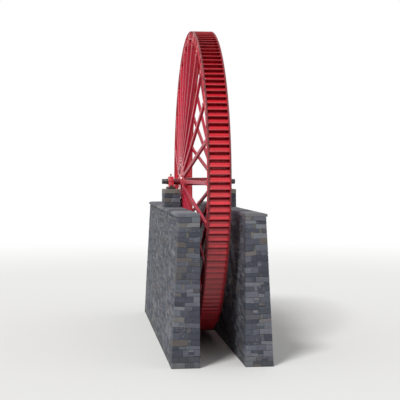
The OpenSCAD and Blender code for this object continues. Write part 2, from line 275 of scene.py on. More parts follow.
def tooledStone(look):
    # Dressed granite: speckle, slanting tool marks, rust that runs from the iron above
    speckle = look.noise(210, 2, 0.5)
    patch = look.noise(4.0, 5, 0.6)
    slant = (look.axis("X") + look.axis("Y") * 0.6 + look.axis("Z") * 0.8) * 260 + patch * 3
    rust = look.streaks(look.place, (13, 13, 1.6), 4).ramp(0.55, 0.75)
    colour = look.cover(tone(98, 97, 93), (tone(138, 135, 127), patch.ramp(0.3, 0.7)),
                        (tone(64, 62, 60), speckle.ramp(0.56, 0.66) * 0.6),
                        (tone(112, 70, 48), rust * 0.45))
    return look.finish(colour, 0.8, slant.math("SINE") * 0.25 + speckle + patch, 0.004, 0.6)


def darkIron(look):
    # Dark bitumen paint with rust at the worn places
    patch = look.noise(7.0, 6, 0.65)
    rust = (patch * 0.7 + look.noise(46, 5, 0.7) * 0.3).ramp(0.50, 0.60)
    colour = look.cover(tone(52, 40, 40), (tone(112, 62, 42), rust * 0.85))
    return look.finish(colour, 0.45 + rust * 0.4, look.noise(75, 4) + patch + rust * 0.4, 0.002, 0.6)


def oiledBrass(look):
    # Turned brass, dulled and oil-stained in patches
    stain = look.noise(18, 5, 0.65).ramp(0.42, 0.66)
    colour = look.cover(tone(196, 160, 92), (tone(112, 80, 44), stain))
    return look.finish(colour, 0.28 + stain * 0.3, look.noise(140, 2), 0.0006, 0.4, {"Metallic": 1.0})


def axlePaint(look, near, far):
    # Old dark red with weathered and grimed patches, darkened all along as painted shade, oily towards the
    # bright journals, which lie from near to far on each side of the middle plane, and black greased ends
    y = look.axis("Y").math("ABSOLUTE")
    bright = y.ramp(near - 0.002, near) * y.ramp(far + 0.002, far)
    oil = y.ramp(near - 0.22, near - 0.02) * (0.5 + look.noise(9, 4))
    fade = look.noise(2.2, 5, 0.6)
    turned = look.streaks(look.place, (2, 420, 2), 3)
    steel = look.cover(tone(150, 148, 144), (tone(186, 184, 180), turned))
    # Painted shade: the body's red is darkened all along by the weathered and grime colours
    colour = look.cover(tone(134, 20, 34), (ironPaint["weathered"], fade.ramp(0.38, 0.66)),
                        (ironPaint["grime"], (fade.ramp(0.55, 0.75) * 0.5).most(oil * 0.8)),
                        (tone(50, 44, 46), y.ramp(far + 0.002, far + 0.010)), (steel, bright))
    rough = 0.24 + fade * 0.15 + bright * 0.04
    relief = look.noise(60) * (1 - bright) + turned * bright * 0.3
    return look.finish(colour, rough, relief, 0.0015, others={"Metallic": bright})


shroudLow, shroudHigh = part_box("shroud_front")
journals = (1.290, 1.610)
looks = {name: make(Look(name), *values) for name, make, *values in (
    ("redIron", paintedIron),
    # The shroud's dark of 0.12 is partly grime and partly painted shade of its dark surroundings
    ("shroudIron", paintedIron, 0.7, 0.12, shroudHigh.z - hinge[2] - 0.004),
    ("boltPaint", paintedIron, 0.9, 0.12),
    # True lays painted shade at each front board's elbow and lip
    ("frontBoards", paintedBoards, boardPaint, 0.3, True),
    ("riserBoards", paintedBoards, boardPaint, 0.55),
    ("soleBoards", paintedBoards, boardPaint, 0.7),
    # Stains in runs are laid more heavily on the arms, partly as painted shade
    ("armTimber", paintedBoards, shadedArmPaint, 0.35),
    ("axlePaint", axlePaint, *journals),
    ("rubble", rubbleStone),
    ("copingSlate", rubbleStone, 0.22, 0.0),
    ("mortar", mortarBed),
    ("granite", tooledStone),
    ("darkIron", darkIron),
    ("brass", oiledBrass))}
print("looks:", len(looks))


# Shapes

def unit(vectors):
    # Each vector over its length
    return vectors / np.linalg.norm(vectors, axis=-1, keepdims=True)


def shellVolume(points, faceSets):
    # Six times the volume of a shell: over all its fans of triangles, the sum of a . (b x c)
    points = points - points.mean(axis=0)
    fans = [(points[faces[:, :1]], points[faces[:, 1:-1]], points[faces[:, 2:]]) for faces in faceSets]
    return sum((a * np.cross(b, c)).sum() for a, b, c in fans)


def putInScene(name, data):
    # A new object at the origin
    thing = bpy.data.objects.new(name, data)
    bpy.context.scene.collection.objects.link(thing)
    return thing


def settle(mesh, name, end, look, body, slot, node=None, sharpFrom=38):
    # Smooth shading up to an angle, a look, a body to ride on, and the node that the piece replaces, whose
    # name ends as its own
    mesh.shade_smooth()
    mesh.set_sharp_from_angle(angle=math.radians(sharpFrom))
    mesh.materials.append(looks[look].material)
    piece = putInScene(name + end, mesh)
    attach(piece, body)
    if node:
        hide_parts(node + end)


class Heap:
    # Gathers copies of closed shells and puts them all into one mesh
    def __init__(self):
        self.points, self.faces, self.tints, self.grains = [], [], [], []

    def add(self, points, faceSets, rng=None, grain=None):
        # points is (copies, corners, 3), the faces count the corners of one copy, and rng gives each a tint
        points = points.reshape(-1, *points.shape[-2:])
        copies, size = points.shape[:2]
        order = -1 if shellVolume(points[0], faceSets) < 0 else 1
        shift = sum(map(len, self.points)) + np.arange(copies)[:, None, None] * size
        for faces in faceSets:
            self.faces += (faces[None, :, ::order] + shift).reshape(-1, faces.shape[1]).tolist()
        self.points.append(points.reshape(-1, 3))
        self.tints.append(np.repeat(rng.random(copies) if rng else np.full(copies, 0.5), size))
        self.grains.append((points if grain is None else grain).reshape(-1, 3))
        return self

    def stamp(self, shape, side, angles, rng=None, grain=None):
        # A shape in radial, tangential and axial places, on its side of the wheel, at each of the angles
        return self.add(onWheel(shape[0] * (1, 1, side), angles), shape[1], rng, grain)

    def build(self, name, end, *details):
        # One mesh of all the shells, with each point's tint and grain
        mesh = bpy.data.meshes.new(name + end)
        mesh.from_pydata(np.concatenate(self.points), [], self.faces)
        for mark, kind, key, values in (("tint", "FLOAT", "value", self.tints),
                                        ("grain", "FLOAT_VECTOR", "vector", self.grains)):
            data = mesh.attributes.new(mark, kind, "POINT").data
            data.foreach_set(key, np.concatenate(values).astype(np.float32).ravel())
        settle(mesh, name, end, *details)


def dressedCopy(node, name, end, look, body, slot, bevel, segments=2):
    # A node's own mesh with its triangles merged and its sharp edges rounded
    shape = bmesh.new()
    shape.from_mesh(frame["nodes"][node + end].data)
    bmesh.ops.remove_doubles(shape, verts=shape.verts, dist=2e-5)
    bmesh.ops.dissolve_limit(shape, angle_limit=math.radians(0.3), verts=shape.verts, edges=shape.edges)
    sharp = [e for e in shape.edges if e.is_manifold and e.calc_face_angle() > math.radians(28)]
    bmesh.ops.bevel(shape, geom=sharp, offset=bevel, segments=segments, profile=0.5, affect="EDGES",
                    clamp_overlap=True)
    mesh = bpy.data.meshes.new(name + end)
    shape.to_mesh(mesh)
    shape.free()
    settle(mesh, name, end, look, body, slot, node)


def block(x, y, z):
    # Points of a block, or of many: each place may vary with all of the block's directions
    return np.stack(np.broadcast_arrays(x, y, z), axis=-1).astype(float)


def inside(low, high, first, last, gap):
    # A run less a gap at each end, but for the first and last places of the whole
    return np.array([low + gap * (low > first), high - gap * (high < last)])


def quadsOf(grid, closed=False):
    # A quad on every cell of a grid of point numbers, whose rows may close on themselves
    if closed:
        grid = np.column_stack([grid, grid[:, 0]])
    return np.stack([grid[:-1, :-1], grid[:-1, 1:], grid[1:, 1:], grid[1:, :-1]], axis=-1).reshape(-1, 4)


def boxLattice(counts):
    # Points and quads on the surface of a lattice: each point is a triple of whole numbers
    quads = []
    for axis in range(3):
        u, v = (axis + 1) % 3, (axis + 2) % 3
        i, j = np.indices((counts[u] - 1, counts[v] - 1)).reshape(2, -1, 1)
        for side in (0, counts[axis] - 1):
            corners = np.full((i.size, 4, 3), side)
            corners[..., u] = i + [0, 1, 1, 0]
            corners[..., v] = j + [0, 0, 1, 1]
            quads.append(corners if side else corners[:, ::-1])
    triples, number = np.unique(np.concatenate(quads).reshape(-1, 3), axis=0, return_inverse=True)
    return triples, number.reshape(-1, 4)


def between(corners, share):
    # Point at shares of the three edges of a block with eight corners, by linear weights
    i, j, k = np.stack([1 - share, share], axis=-1).transpose(2, 0, 1, 3)
    return np.einsum("npi,npj,npk,nijkc->npc", i, j, k, corners)


def blockSize(corners):
    # Mean length of a block's edges along each of its three directions
    lengths = [np.linalg.norm(np.diff(corners, axis=k), axis=-1) for k in (1, 2, 3)]
    return np.stack([length.mean(axis=(1, 2, 3)) for length in lengths], axis=-1)


def roundedBlocks(corners, radius, counts):
    # A lattice held inside the block by the radius, then pushed out by it along the rounded direction
    triples, faces = boxLattice(counts)
    corners = corners.reshape(-1, 2, 2, 2, 3)
    size = blockSize(corners)[:, None, :]
    radius = np.minimum(radius, size.min(axis=2, keepdims=True) * 0.45)
    last = np.array(counts) - 1
    share = np.where(last > 2, np.clip((triples - 1) / np.maximum(last - 2, 1), 0, 1), triples / 2)
    reach = (triples == last) * 1.0 - (triples == 0)
    push = reach / np.maximum(np.linalg.norm(reach, axis=1, keepdims=True), 1)
    local = (2 * share - 1) * (size / 2 - radius) + push * radius
    return between(corners, local / size + 0.5), [faces], local


def pillowBlocks(corners, chamfer, rng):
    # A stone whose side at the far end of the block's second direction is a grid of 4 by 4 uneven points,
    # its rim set back by the chamfer; one flat face behind
    size = blockSize(corners)
    cells = np.arange(16).reshape(4, 4)
    i, j = np.divmod(cells.ravel(), 4)
    ring = np.array([0, 4, 8, 12, 13, 14, 15, 11, 7, 3, 2, 1])
    base, step = np.array([[0.0, 0.0, 1.0, 1.0], [0.0, 1.0, -1.0, 0.0]])
    inset = chamfer * rng.uniform(0.7, 1.5, (len(size), 1))
    inset = inset.clip(0, size[:, [0, 2]].min(axis=1)[:, None] * 0.3)
    u = base[i] + (step[i] * inset + rng.normal(0, 0.0035, (len(size), 16))) / size[:, :1]
    v = base[j] + (step[j] * inset + rng.normal(0, 0.003, u.shape)) / size[:, 2:]
    back = np.isin(cells.ravel(), ring) * inset * 0.75 + rng.uniform(0, 0.007, u.shape)
    front = np.stack([u, 1 - back / size[:, 1:2], v], axis=-1)
    behind = 16 + np.arange(12)
    quads = np.concatenate([quadsOf(cells), quadsOf(np.stack([ring, behind]), True)])
    share = np.concatenate([front, front[:, ring] * (1, 0, 1)], axis=1)
    return between(corners, share), [quads, behind[None]]


def roundedOutline(points, radii, steps=3):
    # Each corner of a closed outline becomes an arc that touches both of its edges, radius / tan(half the
    # corner's angle) along them, about a middle that is radius / sin(half) inside the corner
    points = np.array(points, float)
    radii = np.broadcast_to(radii, len(points))[:, None]
    back, ahead = (unit(np.roll(points, shift, axis=0) - points) for shift in (1, -1))
    half = np.arccos(np.clip((back * ahead).sum(axis=1, keepdims=True), -1, 1)) / 2
    middle = unit(back + ahead) * radii / np.sin(half)
    first, last = (edge * radii / np.tan(half) - middle for edge in (back, ahead))
    t = np.linspace(0, 1, steps + 1)[None, :, None]
    arc = unit(first[:, None] * (1 - t) + last[:, None] * t) * radii[:, None]
    return ((points + middle)[:, None] + arc).reshape(-1, 2)


def insetOutline(outline, distance):
    # Moves each corner inwards along its two edges' normals, so that the edges move by the distance
    ahead = np.roll(outline, -1, axis=0)
    area = (outline[:, 0] * ahead[:, 1] - outline[:, 1] * ahead[:, 0]).sum()
    normal = unit(ahead - outline)[:, ::-1] * (-1, 1) * np.sign(area)
    before = np.roll(normal, 1, axis=0)
    return outline + (normal + before) / (1 + (normal * before).sum(axis=1, keepdims=True)) * distance


def tube(rings, around):
    # Quads between rings of points, and one flat face on each end
    number = np.arange(rings * around).reshape(rings, around)
    return [quadsOf(number, True), np.stack([number[0, ::-1], number[-1]])]


def prism(outline, low, high, bevel):
    # An outline drawn up from low to high, its two ends drawn in by the bevel
    inner = insetOutline(outline, bevel)
    levels = [(inner, low), (outline, low + bevel), (outline, high - bevel), (inner, high)]
    points = np.concatenate([np.column_stack([ring, np.full(len(ring), z)]) for ring, z in levels])
    return points, tube(4, len(outline))


def lathe(profile, around):
    # Circles of the profile's radii at its heights
    angle = np.arange(around) * 2 * math.pi / around
    radius, height = np.array(profile, float).T[..., None]
    rings = block(radius * np.cos(angle), radius * np.sin(angle), height)
    return rings.reshape(-1, 3), tube(len(radius), around)


def placed(shape, centres, normals, turns):
    # Copies of a shape with its third axis on each normal, turned about it and moved to each centre
    w = unit(normals)
    aside = np.where(np.abs(w[:, 2:]) > 0.9, (1, 0, 0), (0, 0, 1))
    u = unit(np.cross(aside, w))
    v = np.cross(w, u)
    c, s = np.cos(turns)[:, None], np.sin(turns)[:, None]
    basis = np.stack([u * c + v * s, v * c - u * s, w], axis=1)
    return centres[:, None] + np.einsum("pi,nij->npj", shape, basis)


def aboutAxle(points, angles):
    # Radial, tangential and axial places turned by each angle: x = r cos - t sin, y = a, z = r sin + t cos
    r, t, a = np.moveaxis(points, -1, 0)
    c, s = np.cos(angles)[:, None], np.sin(angles)[:, None]
    return block(r * c - t * s, a, r * s + t * c)


def onWheel(points, angles):
    # The same, from the axle's line
    return aboutAxle(points, angles) + hinge


def addBolts(heap, radius, centres, normals, rng, washer=8):
    # On each centre, turned by chance about its normal: a washer, a six-sided nut with a chamfer, and the
    # bolt's end, one above the other
    turns = rng.uniform(0, math.pi / 3, len(centres))
    for profile, around in (([(1.0, -0.001 / radius), (0.96, 0.2)], washer),
                            ([(0.8, 0.1), (0.8, 0.8), (0.66, 0.95)], 6),
                            ([(0.38, 0.8), (0.32, 1.2)], 6)):
        shape, shell = lathe(np.array(profile) * radius, around)
        heap.add(placed(shape, centres, normals, turns), shell, rng)


# Rim

rim = {
    "radius": (shroudHigh.z - shroudLow.z) / 2, "depth": 0.400,
    "edge": -shroudLow.y, "halfBreast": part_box("bucket_fronts_1")[1].y,
    "iron": 0.025, "castingGap": 0.003,
    "arms": 24, "buckets": 144,
}
rim["sole"] = rim["radius"] - rim["depth"]
rim["web"] = rim["halfBreast"] + rim["iron"]
bay = 2 * math.pi / rim["arms"]
pitch = 2 * math.pi / rim["buckets"]
bays = np.arange(rim["arms"]) * bay

bucket = {
    "front": 0.290, "slope": math.radians(28), "board": 0.030, "lipInset": 0.006,
    "soleBoard": 0.030, "soleGap": 0.002,
    "edgeRound": 0.005, "plankGap": 0.0016, "warp": 0.0016, "seed": 11,
}
slopeSin, slopeCos = math.sin(bucket["slope"]), math.cos(bucket["slope"])
along = np.array([slopeSin, -slopeCos])  # from elbow to lip, in radial and tangential places
outward = np.array([slopeCos, slopeSin])  # through the thickness of a front board
halfBoard = bucket["board"] / 2
elbowRadius = rim["radius"] - bucket["lipInset"] - bucket["board"] * slopeCos - bucket["front"] * slopeSin
elbow = np.array([elbowRadius, 0])
rise = halfBoard * math.tan(bucket["slope"])
ledgeLevel = rim["sole"] + bucket["soleBoard"]
firstBucket = (bucket["front"] * slopeCos + rim["radius"] * pitch - halfBoard) / 2 / rim["radius"]
bucketAngles = firstBucket + np.arange(rim["buckets"]) * pitch


def boardNormals(angles):
    # The way the front boards look at each angle
    return aboutAxle(np.array([[*outward, 0.0]]), angles)


def addPlanks(heap, section, planks, angles, counts, rng):
    # Splits a board's width into planks with a thin gap, rounds them, and bends each by a slow wave
    across = section[1] - section[0]
    width = np.linalg.norm(across[0])
    gap = bucket["plankGap"] / width / 2
    ends = np.array([-1.0, 1.0])[:, None, None] * rim["halfBreast"]
    for k in range(planks):
        share = inside(k / planks, (k + 1) / planks, 0, 1, gap)
        part = section[0] + across * share[:, None, None]
        corners = onWheel(block(part[..., 0], part[..., 1], ends).reshape(8, 3), angles)
        points, shell, local = roundedBlocks(corners, bucket["edgeRound"], counts)
        phase = rng.uniform(0, 2 * math.pi, (len(angles), 1))
        waves = rng.uniform(1.5, 4.5, (len(angles), 1))
        fade = 1 - (local[..., 0] / rim["halfBreast"]) ** 2
        bend = bucket["warp"] * np.sin(waves * local[..., 0] + phase) * fade
        grain = local + np.arange(len(angles))[:, None, None] * (7.0, 0.0, 0.0)
        grain[..., 1] += width * ((k + 0.5) / planks - 0.5)
        heap.add(points + bend[..., None] * boardNormals(angles), shell, rng, grain)


def boardSections():
    # Corners of three sections, inner side first: the front board from the elbow to the lip, the riser from
    # the sole plank to the front board's sloping underside, the sole plank as wide as a pitch less its gap
    foot = np.array([elbowRadius - rise, halfBoard])
    lip = elbow + bucket["front"] * along
    half = rim["sole"] * math.tan(pitch / 2) - bucket["soleGap"] / 2
    front = [[foot, foot + (bucket["board"] / slopeCos, 0)], [lip, lip + bucket["board"] * outward]]
    riser = [[(ledgeLevel, -halfBoard), (ledgeLevel, halfBoard)], [(elbowRadius + rise, -halfBoard), foot]]
    sole = [[(rim["sole"], -half), (ledgeLevel, -half)], [(rim["sole"], half), (ledgeLevel, half)]]
    return np.array([front, riser, sole])


def makeBuckets():
    # Boards of all the buckets, a quarter of the wheel at a time, across the whole width of the wheel
    rng = seeded(bucket["seed"])
    for number, angles in enumerate(np.split(bucketAngles, 4), 1):
        for section, (kind, planks, steps, node, slot) in zip(boardSections(), (
                ("front", 2, 10, "bucket_fronts", "bucket_boards"),
                ("riser", 1, 10, "bucket_risers", "bucket_boards"),
                ("sole", 2, 7, "sole_planks", "sole_boards"))):
            heap = Heap()
            addPlanks(heap, section, planks, angles, (steps, 5, 4), rng)
            heap.build(kind + "_boards", f"_{number}", kind + "Boards", "wheel", slot, node)


casting = {
    "steps": 16, "outerRound": 0.005, "fillet": 0.014, "bevel": 0.003, "seed": 23,
    "ribs": 2, "rib": 0.020, "ribRound": 0.004, "ribInset": 0.010, "ribLevels": (0.012, 0.002),
    "ledgeWidth": 0.026, "ledgeLevels": (0.022, 0.010), "ledgeShare": 0.94,
    "plate": np.array([0.326, 0.240]), "plateThick": 0.016, "plateRound": 0.012, "plateBolt": 0.022,
    "plateShares": [(u, v) for u in (-0.36, -0.12, 0.12, 0.36) for v in (-0.28, 0.28)],
    "webBolt": 0.019, "webBoltClear": 0.02, "webFoot": (0.085, -0.03), "webSteps": (0.09, 0.20),
    "coachBolt": 0.016, "coachInset": 0.035, "coachShares": (0.14, 0.42, 0.62, 0.90),
}
rimMiddle = rim["sole"] + rim["depth"] / 2
square = np.array([(-1, -1), (1, -1), (1, 1), (-1, 1)])


def shroudProfile():
    # Channel with its flanges outwards, in radial and axial places
    low, high = rim["sole"], rim["radius"]
    iron, foot, web, edge = rim["iron"], rim["halfBreast"], rim["web"], rim["edge"]
    corners = [(low, foot), (high, foot), (high, edge), (high - iron, edge),
               (high - iron, web), (low + iron, web), (low + iron, edge), (low, edge)]
    outer, fillet = casting["outerRound"], casting["fillet"]
    return roundedOutline(corners, [outer] * 4 + [fillet] * 2 + [outer] * 2)


def ledgeOutline():
    # Elbow under the ends of one bucket's boards
    width, slant = casting["ledgeWidth"], math.tan(bucket["slope"])
    tip = elbow + casting["ledgeShare"] * bucket["front"] * along
    far = elbowRadius + (halfBoard + width) * slant - width / slopeCos
    return np.array([(ledgeLevel, -halfBoard), (elbowRadius + rise, -halfBoard), tip, tip - width * outward,
                     (far, -halfBoard - width), (ledgeLevel, -halfBoard - width)])


def makeShroud(face, side):
    # Castings swept from joint to joint, ribs across the channel, a ledge under each bucket's boards, and
    # plates over the joints
    rng = seeded(casting["seed"])
    heap = Heap()
    joint = rim["castingGap"] / rim["sole"]
    turn = np.linspace(joint / 2, bay - joint / 2, casting["steps"] + 1)[:, None]
    r, a = shroudProfile().T
    arc = block(r * np.cos(turn), r * np.sin(turn), a).reshape(-1, 3)
    heap.stamp((arc, tube(len(turn), len(r))), side, bays, rng)
    half = (rim["depth"] / 2 - casting["ribInset"], casting["rib"] / 2)
    outline = roundedOutline(square * half + (rimMiddle, 0), casting["ribRound"], 1)
    sink, short = casting["ribLevels"]
    ribAngles = (bays[:, None] + bay * np.arange(1, casting["ribs"] + 1) / (casting["ribs"] + 1)).ravel()
    heap.stamp(prism(outline, rim["web"] - sink, rim["edge"] - short, casting["ribRound"]), side, ribAngles)
    reach, sink = casting["ledgeLevels"]
    ledge = prism(ledgeOutline(), rim["halfBreast"] - reach, rim["halfBreast"] + sink, casting["bevel"])
    heap.stamp(ledge, side, bucketAngles)
    heap.build("shroud_castings", face, "shroudIron", "wheel", "shroud_iron", "shroud")
    outline = roundedOutline(square * casting["plate"] / 2 + (rimMiddle, 0), casting["plateRound"])
    plate = prism(outline, rim["web"], rim["web"] + casting["plateThick"], casting["bevel"])
    plates = Heap().stamp(plate, side, bays, rng)
    plates.build("splice_plates", face, "redIron", "wheel", "red_iron", "joint_plates")
    makeRimBolts(face, side, rng)


def makeRimBolts(face, side, rng):
    # Bolts through the joint plates, and through the web at each elbow that is clear of them; domed heads of
    # coach bolts in the front boards' ends
    heap = Heap()

    def centresOf(spots, level, angles):
        # Spots on the wheel's side, out to a level, at each angle
        return onWheel(np.column_stack([spots, np.full(len(spots), level * side)]), angles).reshape(-1, 3)

    def drive(centres, radius, washer=8):
        # Bolts that look outwards along the axle
        addBolts(heap, radius, centres, np.broadcast_to([0, side, 0], centres.shape), rng, washer)

    spots = casting["plateShares"] * casting["plate"] + (rimMiddle, 0)
    drive(centresOf(spots, rim["web"] + casting["plateThick"], bays), casting["plateBolt"])
    row = elbow - casting["ledgeWidth"] / 2 * outward + np.outer(casting["webSteps"], along)
    spots = [np.add(casting["webFoot"], (rim["sole"], 0)), *row]
    plain = bucketAngles[np.abs(bucketAngles % bay - bay / 2) < bay / 2 - casting["webBoltClear"]]
    drive(centresOf(spots, rim["web"], plain), casting["webBolt"], 6)
    spots = elbow + outward * bucket["board"] + np.outer(casting["coachShares"], bucket["front"] * along)
    centres = centresOf(spots, rim["halfBreast"] - casting["coachInset"], bucketAngles)
    normals = np.repeat(boardNormals(bucketAngles)[:, 0], len(spots), axis=0)
    dome, shell = lathe([(1.0, -0.1), (0.98, 0.12), (0.75, 0.42), (0.35, 0.58)], 8)
    heap.add(placed(dome * casting["coachBolt"], centres, normals, np.zeros(len(centres))), shell, rng)
    heap.build("rim_bolts", face, "boltPaint", "wheel", "shroud_iron")


makeBuckets()
for face, side in sides:
    makeShroud(face, side)
print("rim: boards and castings")


# Arms, shoes, hubs and axle

arm = {
    "root": (0.880, 0, 0.885), "tip": (rim["sole"] - 0.030, 0, 0.491),
    "rootWidth": 0.200, "tipWidth": 0.180, "thick": 0.130, "edgeRound": 0.004,
    "chamfer": 0.020, "chamferRun": (0.085, 0.945, 0.012),  # from, to and fade
    "bolt": 0.030, "rootBolts": (0.11, 0.27), "tipBolts": (0.17, 0.07), "tipBoltAside": 0.045,
    "seed": 31,
}
armSpan = np.subtract(arm["tip"], arm["root"])
armLength = np.linalg.norm(armSpan)
armAxes = np.array([armSpan, (0, armLength, 0), np.cross(armSpan, (0, 1, 0))]) / armLength


def armShape():
    # Octagons along the arm: half width and half thickness less a corner cut that fades out at both ends
    start, stop, fade = arm["chamferRun"]
    steps = fade * np.array([0, 0.3, 0.6, 1])
    s = np.sort(np.concatenate([[0, 1], start + steps, stop - steps, np.linspace(0.2, 0.85, 6)]))
    grow = np.clip(np.minimum(s - start, stop - s) / fade, 0, 1)
    cut = arm["edgeRound"] + (arm["chamfer"] - arm["edgeRound"]) * grow * grow * (3 - 2 * grow)
    w = (arm["rootWidth"] + (arm["tipWidth"] - arm["rootWidth"]) * s) / 2
    n = np.full(len(s), arm["thick"] / 2)
    across = np.stack([w, w, w - cut, cut - w, -w, -w, cut - w, w - cut], axis=1)
    through = np.stack([cut - n, n - cut, n, n, n - cut, cut - n, -n, -n], axis=1)
    local = block((s * armLength)[:, None], across, through).reshape(-1, 3)
    return arm["root"] + local @ armAxes, tube(len(s), 8), local


def makeArms(face, side):
    # The arm's shape on every bay, each with its own stretch of grain; its shoes, its hub and its bolts
    rng = seeded(arm["seed"])
    *shape, local = armShape()
    grain = local + rng.uniform(0, 50, (len(bays), 1, 1)) * (1.0, 0.0, 0.0)
    timbers = Heap().stamp(shape, side, bays, rng, grain)
    timbers.build("arm_timbers", face, "armTimber", "wheel", "red_timber", "arms")
    dressedCopy("rim_shoes", "arm_shoes", face, "redIron", "wheel", "red_iron", 0.004)
    dressedCopy("hub", "hub_casting", face, "redIron", "wheel", "red_iron", 0.007)
    length = np.concatenate([arm["rootBolts"], armLength - np.array(arm["tipBolts"])])
    apart = (0.0, 0.0, arm["tipBoltAside"], -arm["tipBoltAside"])
    spots = arm["root"] + block(length, apart, arm["thick"] / 2) @ armAxes
    centres = onWheel(spots * (1, 1, side), bays).reshape(-1, 3)
    normals = aboutAxle(armAxes[2:] * (1, 1, side), bays)[:, 0]
    bolts = Heap()
    addBolts(bolts, arm["bolt"], centres, np.repeat(normals, len(length), axis=0), rng)
    bolts.build("arm_bolts", face, "boltPaint", "wheel", "red_iron")


hubKeys = {"count": 4, "out": (0.2045, 0.2465), "wide": (-0.0275, 0.0275), "level": (0.955, 0.988)}


def makeKeys(face, side):
    # Heads of the taper keys that hold the hub on the axle's seat
    key = block(*np.ix_(hubKeys["out"], hubKeys["wide"], hubKeys["level"])).reshape(8, 3) * (1, 1, side)
    turns = (np.arange(hubKeys["count"]) + 0.5) * 2 * math.pi / hubKeys["count"]
    points, shell, _ = roundedBlocks(onWheel(key, turns), 0.003, (4, 4, 4))
    Heap().add(points, shell).build("hub_keys", face, "boltPaint", "wheel", "red_iron")


for face, side in sides:
    makeArms(face, side)
    makeKeys(face, side)
dressedCopy("axle", "turned_axle", "", "axlePaint", "wheel", "axle_iron", 0.004)
print("arms, hubs and axle")


# Bearings

bearing = {
    "middle": sum(journals) / 2, "seed": 71,
    "lug": (0.251, 0.082, 0.032, 0.075, 0.0),
    "foot": (0.350, 0.085, 0.028, 0.100, math.atan2(60, 120)),
    "anchor": (0.415, 0.171, 0.024, 0.0, 0.0),
}


def makeFixings(face, side):
    # Studs with nuts on the cap's lugs, bolts on the base's sloping feet, anchor nuts at the bed plate's
    # corners: distances from the axle's line and from the bearing's middle, radius, height and slope
    rng = seeded(bearing["seed"])
    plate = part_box("bearing_base" + face)[0].z
    middle = side * bearing["middle"]
    heap = Heap()
    for kind, ground in (("lug", hinge[2]), ("foot", plate), ("anchor", plate)):
        far, apart, radius, height, slope = bearing[kind]
        for end in (-1, 1):
            centres = np.array([(end * far, middle + way * apart, ground + height) for way in (-1, 1)])
            lean = np.broadcast_to([end * math.sin(slope), 0.0, math.cos(slope)], (2, 3))
            addBolts(heap, radius, centres, lean, rng, 12)
    heap.build("bearing_bolts", face, "boltPaint", "pit", "red_iron")


oilCup = {
    "profile": [(0.030, -0.002), (0.030, 0.012), (0.016, 0.020), (0.016, 0.034), (0.040, 0.046),
                (0.045, 0.056), (0.045, 0.108), (0.048, 0.110), (0.048, 0.118), (0.040, 0.127),
                (0.012, 0.134), (0.009, 0.146), (0.004, 0.149)],
    "around": 28,
}


def makeOilCup(face, side):
    # Turned cup on the cap's boss
    shape, shell = lathe(oilCup["profile"], oilCup["around"])
    cup = shape + (0.0, side * bearing["middle"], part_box("bearing_cap" + face)[1].z)
    Heap().add(cup, shell).build("oil_cup", face, "brass", "pit", "brass")


for face, side in sides:
    makeFixings(face, side)
    makeOilCup(face, side)
    for node, name, look, slot, *edges in (
            ("bed_plate", "cast_bed", "darkIron", "bed_iron", 0.006),
            ("wedges", "folding_wedges", "darkIron", "bed_iron", 0.002),
            ("bearing_base", "block", "redIron", "red_iron", 0.008),
            ("bearing_cap", "block_cap", "redIron", "red_iron", 0.007),
            ("brasses", "turned_brasses", "brass", "brass", 0.0015),
            ("bed_stone", "tooled_stone", "granite", "dressed_stone", 0.014, 3)):
        dressedCopy(node, name, face, look, "pit", slot, *edges)
print("bearings")


# Masonry

masonry = {
    "course": (0.15, 0.30), "stone": (0.26, 0.92), "depth": (0.14, 0.22), "split": (0.42, 0.42, 0.16),
    "joint": 0.010, "chamfer": 0.012, "skew": 0.022, "bow": 0.030,
    "mortarInset": 0.022, "mortarRough": 0.004,
    "quoinLong": (0.42, 0.70), "quoinShort": (0.24, 0.38), "quoinDeep": 0.34, "quoinRough": 0.0015,
    "endStone": (0.20, 0.46), "endDepth": 0.20, "endLeast": 0.10, "seed": 41,
}
gap = masonry["joint"] / 2  # on each side of a joint


def spanOf(node):
    # A node's low and high values along the pit, away from the middle plane, and up
    low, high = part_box(node)
    return np.array([(low.x, high.x), sorted((abs(low.y), abs(high.y))), (low.z, high.z)])


def cuts(start, end, low, high, rng):
    # Random lengths that together fill a run
    steps = rng.uniform(low, high, max(1, round((end - start) / ((low + high) / 2))))
    return start + np.concatenate([[0], np.cumsum(steps) / steps.sum()]) * (end - start)


def wallBlock(run, depth, level):
    # Corners of a block; run and depth are two values each, or two at each of its two levels
    return block(np.array(run).reshape(2, 1, -1), np.array(depth).reshape(2, -1), level)


def skinned(place, run, deep, outer, level):
    # A block of the wall's upright inner face, or of its outer face, which leans back with the levels
    return wallBlock(run, (deep, 0) if place == "inner" else (outer - deep, outer), level)


def layers(level, rng):
    # Splits the height of one stone into one to three, with a joint between them
    steps = np.cumsum([0, *rng.uniform(0.6, 1.4, 1 + rng.choice(3, p=masonry["split"]))])
    marks = level[0] + steps / steps[-1] * np.ptp(level)
    return [inside(low, high, *level, masonry["joint"] * 0.35) for low, high in pairwise(marks)]


def stonesAlong(start, end, sizes, level, rng):
    # Stones that fill a run at one course, their upright joints askew: run and level of each
    marks = cuts(start, end, *sizes, rng)[:, None]
    lean = rng.uniform(-masonry["skew"], masonry["skew"], marks.shape)
    lean[[0, -1]] = 0
    for k in range(len(marks) - 1):
        for part in layers(level, rng):
            share = (part - level.mean()) / np.ptp(level) * 2
            yield (marks + lean * share)[k:k + 2] + [[gap], [-gap]], part


